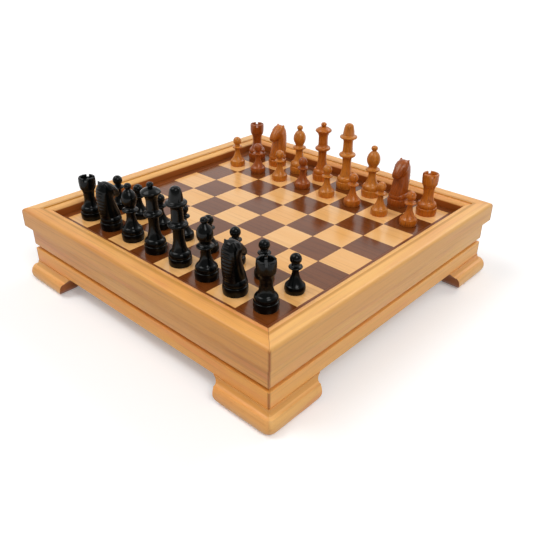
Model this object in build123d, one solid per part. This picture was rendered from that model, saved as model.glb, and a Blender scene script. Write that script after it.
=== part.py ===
from build123d import *
import os
from math import cos, pi, sin

# A wooden games compendium: a square box on bracket feet, whose lid is a lift-out board with
# chess squares above and backgammon points below. The box is a mitred frame in three tiers, and
# the draughts, dice cups and dice lie in the compartments under the board. The chessmen stand on
# the squares. The origin is the centre of the box at the floor, +Z is up, and -Y is the dark side.

# ------------------------------------------------------------------ the board, in millimetres
SQUARES = 8               # along each side
SQUARE = 32.0             # one chess square
BORDER = 8.0              # plain veneer round the squares
VENEER = 1.0              # both faces of the board
CORE = 6.0                # the panel between the veneers
BOARD_CLEARANCE = 0.5     # between the board's edge and the recess, each side
POINTS_PER_TABLE = 6      # backgammon points between the bar and the edge
POINT_GAP = 0.5           # between two points at their wide ends
POINT_LENGTH = 108.0
POINT_INSET = 3.0         # from the board's edge to a point's wide end
BAR_WIDTH = 10.0
BAR_HEIGHT = 3.5
BAR_GAP = 5.0             # from the bar's end to the ledge
BAR_BEVEL = 1.0

# ------------------------------------------------------------------ the box
FOOT_HEIGHT = 18.5
LOWER_RAIL_HEIGHT = 14.5
GROOVE_HEIGHT = 3.5       # the shadow groove between the side rails
GROOVE_DEPTH = 3.0
UPPER_RAIL_HEIGHT = 19.5
CAP_HEIGHT = 18.0
RAIL_THICKNESS = 12.0
CAP_WIDTH = 21.0          # from the recess to the outer face
CAP_OVERHANG = 4.5        # beyond the side rails
CAP_TABLE = 14.5          # the flat outer part of the cap's top
CAP_STEP = 1.2            # from the table down to the inner strip
CAP_ARRIS = 2.5           # the cap's outer top edge, rounded
CAP_LIP = 2.5             # the inner strip's edge, rounded into the recess
RAIL_ARRIS = 0.8          # the bevel along the groove
RECESS_DEPTH = 10.0       # from the cap's top to the squares
LEDGE_WIDTH = 10.0        # the strips that carry the board
LEDGE_HEIGHT = 8.0
PANEL_THICKNESS = 4.0     # the bottom panel
PANEL_RISE = 2.5          # from the rails' underside to the panel
PANEL_TONGUE = 4.0        # how far the panel's groove is cut into the rails
PANEL_EASE = 0.5          # the gap left at the bottom of that groove
DIVIDER_THICKNESS = 5.0
DIVIDER_FIT = 0.1         # each side of a halving joint
MIDDLE_ROOM = 84.0        # the middle row of compartments, front to back

# ------------------------------------------------------------------ the bracket feet
FOOT_THICKNESS = 12.0
FOOT_LENGTH = 60.0        # along the rail, at the top
FOOT_PAD = 47.0           # along the rail, at the floor
FOOT_QUIRK = 0.5          # the fine step under the rail
FOOT_COVE = 5.0           # radius of the quarter hollow under that step
FOOT_NOSE_OUT = 8.4       # how far the round nose stands out from the rail
FOOT_NOSE_HEIGHT = 7.5    # of the nose's furthest point
FOOT_TOE_OUT = 4.8        # how far the foot stands out at the floor
COVE_FLATS = 3            # flats round the hollow
NOSE_FLATS = 4            # flats round the nose
CORNER_FLATS = 2          # flats round a corner, in each half of a foot
BLOCK_LEG = 22.0          # the glue blocks inside the feet
BLOCK_SHORT = 2.5         # from the floor to the blocks

# ------------------------------------------------------------------ the games in the compartments
DRAUGHTS = 15             # of each colour
DRAUGHT_RADIUS = 10.75
DRAUGHT_THICKNESS = 8.0
DRAUGHT_GROOVE = 0.8      # the vee round the edge
DRAUGHT_SPACE = 0.2       # between neighbours in a row
DRAUGHT_SIDES = 8         # flat sides in place of a true round, as there are thirty
CUP_LENGTH = 70.0
CUP_WIDTH = 46.0
CUP_HEADROOM = 1.0        # over a cup on its side, which sets the short way across its oval
CUP_WALL = 2.0
CUP_FLOOR = 3.0
CUP_STEPS = 8             # flats round each end of the oval
LINING = 1.0
DIE = 12.0
DOUBLING_DIE = 16.0
DIE_BEVEL = 1.0
LOOSE_GAP = 1.5           # from a loose piece to its neighbour or the wall

# ------------------------------------------------------------------ the chessmen
# A turned piece is a list of (height, radius) up its profile. Thirty-two men are many turned
# pieces, so each has flat sides in place of a true round.
TURNED_SIDES = 10
PAWN = [(0, 8.0), (5.2, 8.3), (12.0, 4.2), (20.2, 2.8), (21.4, 5.2), (23.0, 3.4), (26.0, 4.4),
        (29.8, 4.1), (32.5, 1.4)]
BASE = [(0, 9.7), (6.8, 10.2), (7.8, 8.9), (10.0, 9.3), (12.6, 7.2)]
ROOK = BASE + [(17.0, 5.8), (24.0, 5.4), (30.5, 7.2), (40.5, 7.9)]
BISHOP = BASE + [(17.0, 5.2), (27.0, 4.0), (28.8, 6.8), (30.8, 4.6), (37.0, 6.6), (42.0, 6.9),
                 (46.6, 3.0), (49.2, 2.9), (52.0, 1.1)]
QUEEN = BASE + [(17.5, 5.8), (33.0, 4.8), (35.6, 7.6), (38.4, 5.6), (46.4, 5.0), (53.8, 8.4),
                (57.2, 2.8), (59.6, 2.9), (62.0, 1.1)]
KING = BASE + [(17.5, 5.8), (33.6, 5.0), (36.3, 8.0), (39.4, 5.6), (50.0, 5.0), (54.3, 8.4),
               (57.0, 5.8), (65.4, 4.4), (67.5, 2.4)]
ROOK_WELL_RADIUS = 5.4    # inside the rook's battlements
ROOK_WELL_DEPTH = 3.0
ROOK_SLOT = 2.6           # the width and depth of each crenel
# The knight's head is an outline of (forwards, height), from the back of the neck over the ears.
KNIGHT_SEAT = 10.0        # where the head starts, inside its base
KNIGHT_NECK = [(-8.6, KNIGHT_SEAT), (-10.1, 27.0), (-7.8, 41.5)]
KNIGHT_EARS = [(-7.8, 41.5), (-4.6, 45.5), (-2.0, 43.8)]
KNIGHT_FACE = [(-2.0, 43.8), (5.4, 40.2), (10.2, 33.0)]
KNIGHT_MUZZLE = [(10.2, 33.0), (10.0, 29.2), (7.4, 27.6), (3.6, 29.4)]
KNIGHT_THROAT = [(3.6, 29.4), (4.6, 20.0), (8.4, KNIGHT_SEAT)]
KNIGHT_CHEST = 15.0       # across the horse's chest
KNIGHT_CROWN = 12.0       # across its ears
BACK_ROW = ["rook", "knight", "bishop", "king", "queen", "bishop", "knight", "rook"]
FILES = "abcdefgh"        # from +X to -X

# ------------------------------------------------------------------ places that follow
board_width = SQUARES * SQUARE + 2 * BORDER
board_half = board_width / 2
recess_half = board_half + BOARD_CLEARANCE
box_half = recess_half + CAP_WIDTH
rail_half = box_half - CAP_OVERHANG
inner_half = rail_half - RAIL_THICKNESS
field_half = SQUARES * SQUARE / 2

lower_rail_top = FOOT_HEIGHT + LOWER_RAIL_HEIGHT
upper_rail_bottom = lower_rail_top + GROOVE_HEIGHT
cap_bottom = upper_rail_bottom + UPPER_RAIL_HEIGHT
cap_top = cap_bottom + CAP_HEIGHT
squares_top = cap_top - RECESS_DEPTH
core_top = squares_top - VENEER
core_bottom = core_top - CORE
board_bottom = core_bottom - VENEER
ledge_bottom = board_bottom - LEDGE_HEIGHT
panel_bottom = FOOT_HEIGHT + PANEL_RISE
panel_top = panel_bottom + PANEL_THICKNESS
cup_depth = board_bottom - panel_top - CUP_HEADROOM

divider_centre = (MIDDLE_ROOM + DIVIDER_THICKNESS) / 2
room_start = DIVIDER_THICKNESS / 2
room_length = inner_half - room_start


def section(*outline):
    """A face in the XZ plane, from edges drawn with X across and Z up."""
    return Plane.XZ * make_face(list(outline))


def slab(width, depth, bottom, top, x=0.0, y=0.0):
    """A rectangular block between two heights, centred on x and y."""
    return Pos(x, y, bottom) * extrude(Rectangle(width, depth), amount=top - bottom)


def quarter_turns(shape):
    """The shape on each of the box's four sides."""
    return [Rot(0, 0, 90 * turn) * shape for turn in range(4)]


def mitre_wedge():
    """The quarter of the box that a rail on the +X side may fill."""
    reach = box_half + 1
    outline = Polyline((0, 0), (reach, -reach), (reach, reach), close=True)
    return extrude(make_face(outline), amount=cap_top + 1)


def mitred_ring(profile):
    """Four rails of one moulding, mitred at the corners."""
    rail = extrude(profile, amount=box_half, both=True)
    return quarter_turns(rail & mitre_wedge())


def faceted(rings):
    """A solid between flat rings of corners, one over another, with a flat facet on each side."""
    faces = [Face(Wire.make_polygon(rings[0])), Face(Wire.make_polygon(rings[-1]))]
    for lower, upper in zip(rings, rings[1:]):
        for left, _ in enumerate(lower):
            right = (left + 1) % len(lower)
            facet = [lower[left], lower[right], upper[right], upper[left]]
            faces.append(Face(Wire.make_polygon(facet)))
    return Solid(Shell(faces))


# ------------------------------------------------------------------ the box's frame
def cap_rails():
    """The top tier: a flat table, a step, and a strip rounded into the recess."""
    strip_top = cap_top - CAP_STEP
    table_edge = box_half - CAP_TABLE
    outline = [
        Line((recess_half, cap_bottom), (box_half, cap_bottom)),
        Line((box_half, cap_bottom), (box_half, cap_top - CAP_ARRIS)),
        RadiusArc((box_half, cap_top - CAP_ARRIS), (box_half - CAP_ARRIS, cap_top), CAP_ARRIS),
        Line((box_half - CAP_ARRIS, cap_top), (table_edge, cap_top)),
        Line((table_edge, cap_top), (table_edge, strip_top)),
        Line((table_edge, strip_top), (recess_half + CAP_LIP, strip_top)),
        RadiusArc((recess_half + CAP_LIP, strip_top), (recess_half, strip_top - CAP_LIP), CAP_LIP),
        Line((recess_half, strip_top - CAP_LIP), (recess_half, cap_bottom)),
    ]
    return mitred_ring(section(*outline))


def upper_side_rails():
    """The tier under the cap, bevelled where it meets the groove."""
    outline = Polyline(
        (inner_half, upper_rail_bottom),
        (rail_half - RAIL_ARRIS, upper_rail_bottom),
        (rail_half, upper_rail_bottom + RAIL_ARRIS),
        (rail_half, cap_bottom),
        (inner_half, cap_bottom),
        close=True,
    )
    return mitred_ring(section(outline))


def lower_side_rails():
    """The bottom tier: its tongue backs the shadow groove, and the panel lies in its slot."""
    tongue = rail_half - GROOVE_DEPTH
    slot = inner_half + PANEL_TONGUE
    outline = Polyline(
        (inner_half, FOOT_HEIGHT),
        (rail_half, FOOT_HEIGHT),
        (rail_half, lower_rail_top - RAIL_ARRIS),
        (rail_half - RAIL_ARRIS, lower_rail_top),
        (tongue, lower_rail_top),
        (tongue, upper_rail_bottom),
        (inner_half, upper_rail_bottom),
        (inner_half, panel_top),
        (slot, panel_top),
        (slot, panel_bottom),
        (inner_half, panel_bottom),
        close=True,
    )
    return mitred_ring(section(outline))


def bottom_panel():
    """The floor of the compartments, let into the lower rails."""
    width = 2 * (inner_half + PANEL_TONGUE - PANEL_EASE)
    return [slab(width, width, panel_bottom, panel_top)]


def board_ledge_strips():
    """The strips on the rails' inner faces that the board rests on."""
    inside = inner_half - LEDGE_WIDTH
    centre = (inside + inner_half) / 2
    height = (ledge_bottom + board_bottom) / 2
    profile = Pos(centre, height) * Rectangle(LEDGE_WIDTH, LEDGE_HEIGHT)
    return mitred_ring(Plane.XZ * profile)


def compartment_dividers():
    """Two long dividers and one across them, halved together where they cross."""
    half_height = (panel_top + ledge_bottom) / 2
    notch = DIVIDER_THICKNESS + 2 * DIVIDER_FIT
    long_divider = slab(2 * inner_half, DIVIDER_THICKNESS, panel_top, ledge_bottom)
    long_divider -= slab(notch, notch, half_height, ledge_bottom)
    cross = slab(DIVIDER_THICKNESS, 2 * inner_half, panel_top, ledge_bottom)
    for side in (-1, 1):
        cross -= slab(notch, notch, panel_top, half_height, y=side * divider_centre)
    return [Pos(0, side * divider_centre) * long_divider for side in (-1, 1)] + [cross]


# ------------------------------------------------------------------ the feet
def foot_moulding():
    """How far the foot stands out from the rail, and how high: the nose from the floor, the hollow."""
    cove_end = (FOOT_QUIRK + FOOT_COVE, FOOT_HEIGHT - FOOT_COVE)
    nose = ThreePointArc((FOOT_TOE_OUT, 0), (FOOT_NOSE_OUT, FOOT_NOSE_HEIGHT), cove_end)
    hollow = RadiusArc(cove_end, (FOOT_QUIRK, FOOT_HEIGHT), FOOT_COVE)
    places = [nose @ (step / NOSE_FLATS) for step in range(NOSE_FLATS)]
    places += [hollow @ (step / COVE_FLATS) for step in range(COVE_FLATS + 1)]
    return [(place.X, place.Y) for place in places]


def foot_stock():
    """Half a foot before its end is sawn. Its moulding turns about the rail's corner to the mitre."""
    back = rail_half - FOOT_THICKNESS
    turns = [45 * step / CORNER_FLATS for step in range(CORNER_FLATS + 1)]
    rings = []
    for out, height in foot_moulding():
        edge = Vector(rail_half, rail_half, height)
        corner = [edge + Vector(out, 0).rotate(Axis.Z, turn) for turn in turns]
        end = [Vector(back, 0, height), Vector(rail_half + out, 0, height)]
        rings.append([*end, *corner, Vector(back, back, height)])
    return faceted(rings)


def foot_end():
    """What is sawn off a foot's inner end: the ogee from the rail down to the pad."""
    top = box_half - FOOT_LENGTH
    pad = box_half - FOOT_PAD
    middle = ((top + pad) / 2, FOOT_HEIGHT / 2)
    swell = (pad - top) / 8
    hollow = ((top + middle[0]) / 2 + swell, (FOOT_HEIGHT + middle[1]) / 2 + swell)
    knee = ((middle[0] + pad) / 2 - swell, middle[1] / 2 - swell)
    outline = [
        ThreePointArc((top, FOOT_HEIGHT), hollow, middle),
        ThreePointArc(middle, knee, (pad, 0)),
        Polyline((pad, 0), (pad, -1), (0, -1), (0, FOOT_HEIGHT), (top, FOOT_HEIGHT)),
    ]
    return extrude(Plane.YZ * make_face(outline), amount=2 * box_half)


def bracket_feet():
    """One foot for each corner, each of two mitred halves."""
    half = foot_stock() - foot_end()
    other = mirror(half, about=Plane((0, 0, 0), z_dir=(1, -1, 0)))
    pair = [half, other]
    return [[Rot(0, 0, 90 * turn) * piece for piece in pair] for turn in range(4)]


def foot_glue_blocks():
    """A three-cornered block behind each foot."""
    corner = rail_half - FOOT_THICKNESS
    outline = Polyline(
        (corner, corner), (corner - BLOCK_LEG, corner), (corner, corner - BLOCK_LEG), close=True
    )
    block = extrude(make_face(outline), amount=FOOT_HEIGHT - BLOCK_SHORT)
    return quarter_turns(Pos(0, 0, BLOCK_SHORT) * block)


# ------------------------------------------------------------------ the board
def square_centre(rank, file):
    """The centre of a square: ranks run to +Y and files to -X, from the near right corner."""
    return field_half - (file + 0.5) * SQUARE, (rank + 0.5) * SQUARE - field_half


def squares(dark):
    """The thirty-two veneer squares of one colour."""
    places = [(r, f) for r in range(SQUARES) for f in range(SQUARES) if ((r + f) % 2 == 0) == dark]
    tile = slab(SQUARE, SQUARE, core_top, squares_top)
    return [Pos(*square_centre(r, f)) * tile for r, f in places]


def board_border():
    """The mitred veneer strips round the squares."""
    centre = (field_half + board_half) / 2
    height = (core_top + squares_top) / 2
    return mitred_ring(Plane.XZ * (Pos(centre, height) * Rectangle(BORDER, VENEER)))


def backgammon_points():
    """Both colours of point, as two lists, alternating along each side and across the board."""
    base = board_half - POINT_INSET
    pitch = (board_half - BORDER - BAR_WIDTH / 2) / POINTS_PER_TABLE
    half = (pitch - POINT_GAP) / 2
    outline = Polyline((-half, -base), (half, -base), (0, POINT_LENGTH - base), close=True)
    point = Pos(0, 0, board_bottom) * extrude(make_face(outline), amount=VENEER)
    colours = [[], []]
    for number in range(2 * POINTS_PER_TABLE):
        table = 1 if number >= POINTS_PER_TABLE else -1
        step = number % POINTS_PER_TABLE
        if table < 0:
            step = POINTS_PER_TABLE - 1 - step
        x = table * (BAR_WIDTH / 2 + (step + 0.5) * pitch)
        colours[number % 2].append(Pos(x, 0) * point)
        colours[(number + 1) % 2].append(Pos(x, 0) * Rot(0, 0, 180) * point)
    return colours


def backgammon_field(points):
    """The pale veneer that the points are let into."""
    return [slab(board_width, board_width, board_bottom, core_bottom) - points]


def backgammon_bar():
    """The raised bar between the two tables, bevelled along its edges."""
    foot = BAR_WIDTH / 2
    low = board_bottom - BAR_HEIGHT
    outline = Polyline(
        (-foot, board_bottom),
        (-foot, low + BAR_BEVEL),
        (BAR_BEVEL - foot, low),
        (foot - BAR_BEVEL, low),
        (foot, low + BAR_BEVEL),
        (foot, board_bottom),
        close=True,
    )
    end = inner_half - LEDGE_WIDTH - BAR_GAP
    return [extrude(section(outline), amount=end, both=True)]


# ------------------------------------------------------------------ draughts, cups and dice
def turned(profile, sides=TURNED_SIDES):
    """A turned piece with flat sides, from (height, radius) pairs; a flat side faces +X."""
    turns = [360 * (corner + 0.5) / sides for corner in range(sides)]
    return faceted([[Vector(r, 0, z).rotate(Axis.Z, turn) for turn in turns] for z, r in profile])


def draught_rows(side):
    """The draughts on edge in their compartment, as many rows as they need."""
    middle = DRAUGHT_THICKNESS / 2
    corner = DRAUGHT_RADIUS / cos(pi / DRAUGHT_SIDES)
    profile = [
        (0, corner),
        (middle - DRAUGHT_GROOVE, corner),
        (middle, corner - DRAUGHT_GROOVE),
        (middle + DRAUGHT_GROOVE, corner),
        (DRAUGHT_THICKNESS, corner),
    ]
    draught = Rot(0, 90, 0) * turned(profile, DRAUGHT_SIDES)
    pitch = DRAUGHT_THICKNESS + DRAUGHT_SPACE
    wall = inner_half - LEDGE_WIDTH - LOOSE_GAP
    per_row = int((wall - room_start - LOOSE_GAP) // pitch)
    rise = panel_top + DRAUGHT_RADIUS
    start = LOOSE_GAP + room_start if side > 0 else -wall
    row = []
    for number in range(DRAUGHTS):
        y = DRAUGHT_RADIUS + (2 * DRAUGHT_RADIUS + LOOSE_GAP) * (number // per_row) - wall
        row.append(Pos(start + (number % per_row) * pitch, y, rise) * draught)
    return row


def oval(width, depth):
    """A long oval in the YZ plane: two half rounds of flats, and two straight sides."""
    radius = depth / 2
    centre = width / 2 - radius
    turns = [pi * step / CUP_STEPS for step in range(CUP_STEPS + 1)]
    right = [(centre + radius * sin(turn), -radius * cos(turn)) for turn in turns]
    left = [(-x, -y) for x, y in right]
    return Plane.YZ * make_face(Polyline(*right, *left, close=True))


def cup_shell(length, width, depth, wall, floor):
    """An oval tube with one end closed, lying on its side with its mouth at -X."""
    bore = oval(width - 2 * wall, depth - 2 * wall)
    return extrude(oval(width, depth), amount=length) - extrude(bore, amount=length - floor)


def dice_cups():
    """The two cups and their linings, each in a middle compartment with its mouth inwards."""
    cup = cup_shell(CUP_LENGTH, CUP_WIDTH, cup_depth, CUP_WALL, CUP_FLOOR)
    inside = CUP_LENGTH - CUP_FLOOR
    lining = cup_shell(inside, CUP_WIDTH - 2 * CUP_WALL, cup_depth - 2 * CUP_WALL, LINING, LINING)
    x = inner_half - LEDGE_WIDTH - LOOSE_GAP - CUP_LENGTH
    y = LOOSE_GAP + (CUP_WIDTH - MIDDLE_ROOM) / 2
    right = Pos(x, y, panel_top + cup_depth / 2)
    left = Pos(-x, y, panel_top + cup_depth / 2) * Rot(0, 0, 180)
    return [left * cup], [right * cup], [left * lining, right * lining]


def die(size, x, y):
    """A bevelled cube on the bottom panel."""
    cube = slab(size, size, panel_top, panel_top + size, x, y)
    return chamfer(cube.edges(), DIE_BEVEL)


def dice_pair(side):
    """Two dice of one colour, beside a cup."""
    y = MIDDLE_ROOM / 2 - LOOSE_GAP - DIE / 2
    step = DIE + LOOSE_GAP
    near = inner_half - LOOSE_GAP - DIE / 2
    return [die(DIE, side * near, y), die(DIE, side * (near - step), y - LOOSE_GAP)]


def doubling_cube():
    """The larger die that keeps the stake."""
    near = inner_half - 2 * (DIE + LOOSE_GAP) - LOOSE_GAP - DOUBLING_DIE / 2
    y = MIDDLE_ROOM / 2 - LOOSE_GAP - DOUBLING_DIE / 2
    return [die(DOUBLING_DIE, near, y)]


# ------------------------------------------------------------------ the chessmen
def pawn():
    """A ball on a collar and a spreading stem."""
    return turned(PAWN)


def bishop():
    """An egg-shaped head with a small ball."""
    return turned(BISHOP)


def queen():
    """A flared coronet with a small ball."""
    return turned(QUEEN)


def king():
    """A tall round-topped head above two collars."""
    return turned(KING)


def rook():
    """A cup-shaped tower with a well and four battlements, cut across its corners."""
    top = ROOK[-1][0]
    well = Pos(0, 0, top - ROOK_WELL_DEPTH) * extrude(
        RegularPolygon(ROOK_WELL_RADIUS, TURNED_SIDES, rotation=180 / TURNED_SIDES), amount=top
    )
    across = 2 * ROOK[-1][1] + 1
    slots = slab(across, ROOK_SLOT, top - ROOK_SLOT, top + 1)
    slots += slab(ROOK_SLOT, across, top - ROOK_SLOT, top + 1)
    return turned(ROOK) - well - Rot(0, 0, 45) * slots


def knight():
    """A horse's head sawn from a plank and thinned to its ears, on the common base, facing +Y."""
    outline = [
        ThreePointArc(*KNIGHT_NECK),
        Polyline(*KNIGHT_EARS),
        ThreePointArc(*KNIGHT_FACE),
        Polyline(*KNIGHT_MUZZLE),
        ThreePointArc(*KNIGHT_THROAT),
        Line(KNIGHT_THROAT[-1], KNIGHT_NECK[0]),
    ]
    head = extrude(Plane.YZ * make_face(outline), amount=KNIGHT_CHEST / 2, both=True)
    top = max(height for _, height in KNIGHT_EARS)
    front = Polyline(
        (-KNIGHT_CHEST / 2, KNIGHT_SEAT),
        (KNIGHT_CHEST / 2, KNIGHT_SEAT),
        (KNIGHT_CROWN / 2, top),
        (-KNIGHT_CROWN / 2, top),
        close=True,
    )
    return turned(BASE) + (head & extrude(section(front), amount=top, both=True))


def chessmen():
    """Both sides' men on their squares, by name: the dark side stands on the first ranks."""
    shapes = {"rook": rook(), "knight": knight(), "bishop": bishop(), "king": king(),
              "queen": queen(), "pawn": pawn()}
    men = {}
    for side, back_rank, pawn_rank, turn in (("dark", 0, 1, 0), ("light", 7, 6, 180)):
        ranks = [(back_rank, BACK_ROW), (pawn_rank, ["pawn"] * SQUARES)]
        for rank, kinds in ranks:
            for file, kind in enumerate(kinds):
                x, y = square_centre(rank, file)
                place = Pos(x, y, squares_top) * Rot(0, 0, turn)
                men[f"{side}_{kind}_{FILES[file]}"] = [place * shapes[kind]]
    return men


# ------------------------------------------------------------------ every piece, by its node
def assembly():
    """All the nodes of the box: a name, and the solids that share it."""
    red, plum = backgammon_points()
    cup_left, cup_right, linings = dice_cups()
    corners = ["back_right", "back_left", "front_left", "front_right"]
    feet = {f"foot_{corner}": pair for corner, pair in zip(corners, bracket_feet())}
    return {
        "cap_rails": cap_rails(),
        "upper_side_rails": upper_side_rails(),
        "lower_side_rails": lower_side_rails(),
        **feet,
        "foot_glue_blocks": foot_glue_blocks(),
        "bottom_panel": bottom_panel(),
        "board_ledge_strips": board_ledge_strips(),
        "compartment_dividers": compartment_dividers(),
        "light_draughts": draught_rows(-1),
        "dark_draughts": draught_rows(1),
        "dice_cup_left": cup_left,
        "dice_cup_right": cup_right,
        "dice_cup_linings": linings,
        "cream_dice": dice_pair(-1),
        "maroon_dice": dice_pair(1),
        "doubling_cube": doubling_cube(),
        "board_core": [slab(board_width, board_width, core_bottom, core_top)],
        "board_border": board_border(),
        "light_squares": squares(dark=False),
        "dark_squares": squares(dark=True),
        "backgammon_field": backgammon_field(red + plum),
        "red_points": red,
        "plum_points": plum,
        "backgammon_bar": backgammon_bar(),
        **chessmen(),
    }


def write(name, shapes):
    """One STEP file for a node, with each of its solids apart."""
    solids = [solid for shape in shapes for solid in shape.solids()]
    whole = solids[0] if len(solids) == 1 else Compound(children=solids)
    export_step(whole, f"parts/{name}.step")


os.makedirs("parts", exist_ok=True)
for node, pieces in assembly().items():
    write(node, pieces)
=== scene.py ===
"""The finished look of a wooden games compendium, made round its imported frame.

The mitred mouldings, bracket feet, chessmen, draughts, cups and dice are made here as surfaces. The
panels, veneers and dividers keep the frame's own shapes and only take a finish. Lengths are in metres
in the frame's axes unless a name ends in _mm: +Z is up and the dark men stand along -Y.
"""

import logging
import math
from dataclasses import dataclass, field
from enum import Enum
from typing import Sequence, Union

import bmesh
import bpy
import numpy as np
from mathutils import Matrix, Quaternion, Vector


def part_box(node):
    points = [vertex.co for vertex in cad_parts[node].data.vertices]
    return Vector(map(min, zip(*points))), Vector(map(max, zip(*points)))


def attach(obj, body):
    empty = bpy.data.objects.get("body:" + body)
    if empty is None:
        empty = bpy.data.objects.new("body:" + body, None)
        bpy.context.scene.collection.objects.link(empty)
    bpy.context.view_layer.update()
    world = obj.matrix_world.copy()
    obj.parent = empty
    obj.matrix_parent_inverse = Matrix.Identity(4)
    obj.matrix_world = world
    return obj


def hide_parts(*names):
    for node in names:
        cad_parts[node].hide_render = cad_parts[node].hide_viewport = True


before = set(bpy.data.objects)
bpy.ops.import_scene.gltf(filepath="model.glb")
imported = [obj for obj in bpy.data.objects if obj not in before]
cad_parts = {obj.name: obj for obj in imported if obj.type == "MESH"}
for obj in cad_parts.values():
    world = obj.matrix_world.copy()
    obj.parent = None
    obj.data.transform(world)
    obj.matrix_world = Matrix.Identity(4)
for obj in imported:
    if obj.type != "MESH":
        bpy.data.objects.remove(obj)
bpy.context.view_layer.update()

log = logging.getLogger("games_box")
MM = 0.001
QUARTER = 1 - math.cos(math.pi / 4)  # how far a quarter round rises over its chord, per radius
WHITE = (1.0, 1.0, 1.0, 1.0)
Value = Union[float, tuple, bpy.types.NodeSocket]
Station = tuple[float, float, float]


# ---------------------------------------------------------------------------- surfaces
@dataclass
class Skin:
    """A closed surface.

    points is an array of places. faces holds arrays of corner numbers, one array for each number
    of corners. marks is one number for each point, for a colour that follows the surface.
    """

    points: np.ndarray
    faces: list[np.ndarray]
    marks: np.ndarray | None = None

    def quarter_turned(self, turns: int) -> "Skin":
        """The skin turned about Z by that many right angles: (x, y) goes to (-y, x) each time."""
        x, y, z = self.points.T
        for _ in range(turns % 4):
            x, y = -y, x
        return Skin(np.stack([x, y, z], axis=-1), self.faces, self.marks)

    def swapped(self) -> "Skin":
        """The mirror image in the plane x = y, with its faces turned outwards again."""
        return Skin(self.points[:, [1, 0, 2]], [face[:, ::-1] for face in self.faces], self.marks)

    def moved(self, place: Sequence[float]) -> "Skin":
        """The skin carried to a place."""
        return Skin(self.points + np.asarray(place, float), self.faces, self.marks)


def join(skins: Sequence[Skin]) -> Skin:
    """Several skins as one.

    Args:
        skins: the skins, either all with marks or all without.

    Returns:
        One skin with all their points and faces.
    """
    starts = np.cumsum([0] + [len(skin.points) for skin in skins[:-1]])
    faces = [face + start for skin, start in zip(skins, starts) for face in skin.faces]
    marked = all(skin.marks is not None for skin in skins)
    marks = np.concatenate([skin.marks for skin in skins]) if marked else None
    return Skin(np.concatenate([skin.points for skin in skins]), faces, marks)


def arc_path(stations: Sequence[Station], steps: int = 6) -> np.ndarray:
    """Points along a path of straight runs and circular arcs.

    A run goes from one station to the next. With a rise h over a chord of length c it is the arc
    of half angle 2 atan(2 h / c) that bows out to the left of the way it runs, so that a path
    going up bows away from the axis.

    Args:
        stations: (height, radius, rise of the run that ends here); the first rise isn't used.
        steps: the parts that each arc is cut into.

    Returns:
        An array of (height, radius).
    """
    path = [np.array([stations[0][:2]], float)]
    for start, end in zip(stations, stations[1:]):
        chord = np.subtract(end[:2], start[:2])
        length = float(np.hypot(*chord))
        half = 2 * math.atan2(2 * end[2], length)
        share = np.linspace(-1, 1, steps + 1)[1:] if abs(half) > 1e-6 else np.ones(1)
        half = half or 1e-9
        along = (np.sin(half * share) / math.sin(half) + 1) / 2
        out = (np.cos(half * share) - math.cos(half)) / (2 * math.sin(half))
        normal = np.array([-chord[1], chord[0]])
        path.append(start[:2] + along[:, None] * chord + out[:, None] * normal)
    return np.concatenate(path)


def rolled_up(rows: np.ndarray) -> Skin:
    """A tube of rings with both ends closed.

    Args:
        rows: an array (rings, points, 3). Seen from the last ring's side, each ring runs
            anticlockwise.

    Returns:
        The skin, whose faces point outwards.
    """
    rings, count = rows.shape[:2]
    index = np.arange(rings * count).reshape(rings, count)
    ahead = np.roll(index, -1, axis=1)
    quads = np.stack([index[:-1], ahead[:-1], ahead[1:], index[1:]], axis=-1).reshape(-1, 4)
    return Skin(rows.reshape(-1, 3), [quads, index[:1, ::-1], index[-1:]])


def lathed(path: np.ndarray, turns: np.ndarray) -> np.ndarray:
    """Rings of a turned piece round Z: each (height, radius) of the path at each turn."""
    height, radius = path.T
    return np.stack(
        [np.outer(radius, np.cos(turns)), np.outer(radius, np.sin(turns)),
         np.repeat(height[:, None], len(turns), axis=1)], axis=-1)


def even_turns(sides: int) -> np.ndarray:
    """Angles evenly round a circle."""
    return np.arange(sides) * (2 * math.pi / sides)


def mitred(section: np.ndarray) -> Skin:
    """Four closed rails, mitred at the corners of a square.

    A point (z, r) of the section runs from (r, r, z) to (r, -r, z), and the rail is turned to each
    of the four sides.

    Args:
        section: the moulding's outline as (height, distance from the middle), anticlockwise.

    Returns:
        One skin of four rails.
    """
    height, reach = section.T
    ends = np.stack([np.stack([reach, side * reach, height], axis=-1) for side in (1, -1)])
    rail = rolled_up(ends)
    return join([rail.quarter_turned(turns) for turns in range(4)])


@dataclass(frozen=True)
class Edge:
    """The rounding of a piece's sharp edges: its width, and the least angle that it rounds."""

    width: float = 0.5 * MM
    angle: float = math.radians(38)
    segments: int = 2


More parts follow.
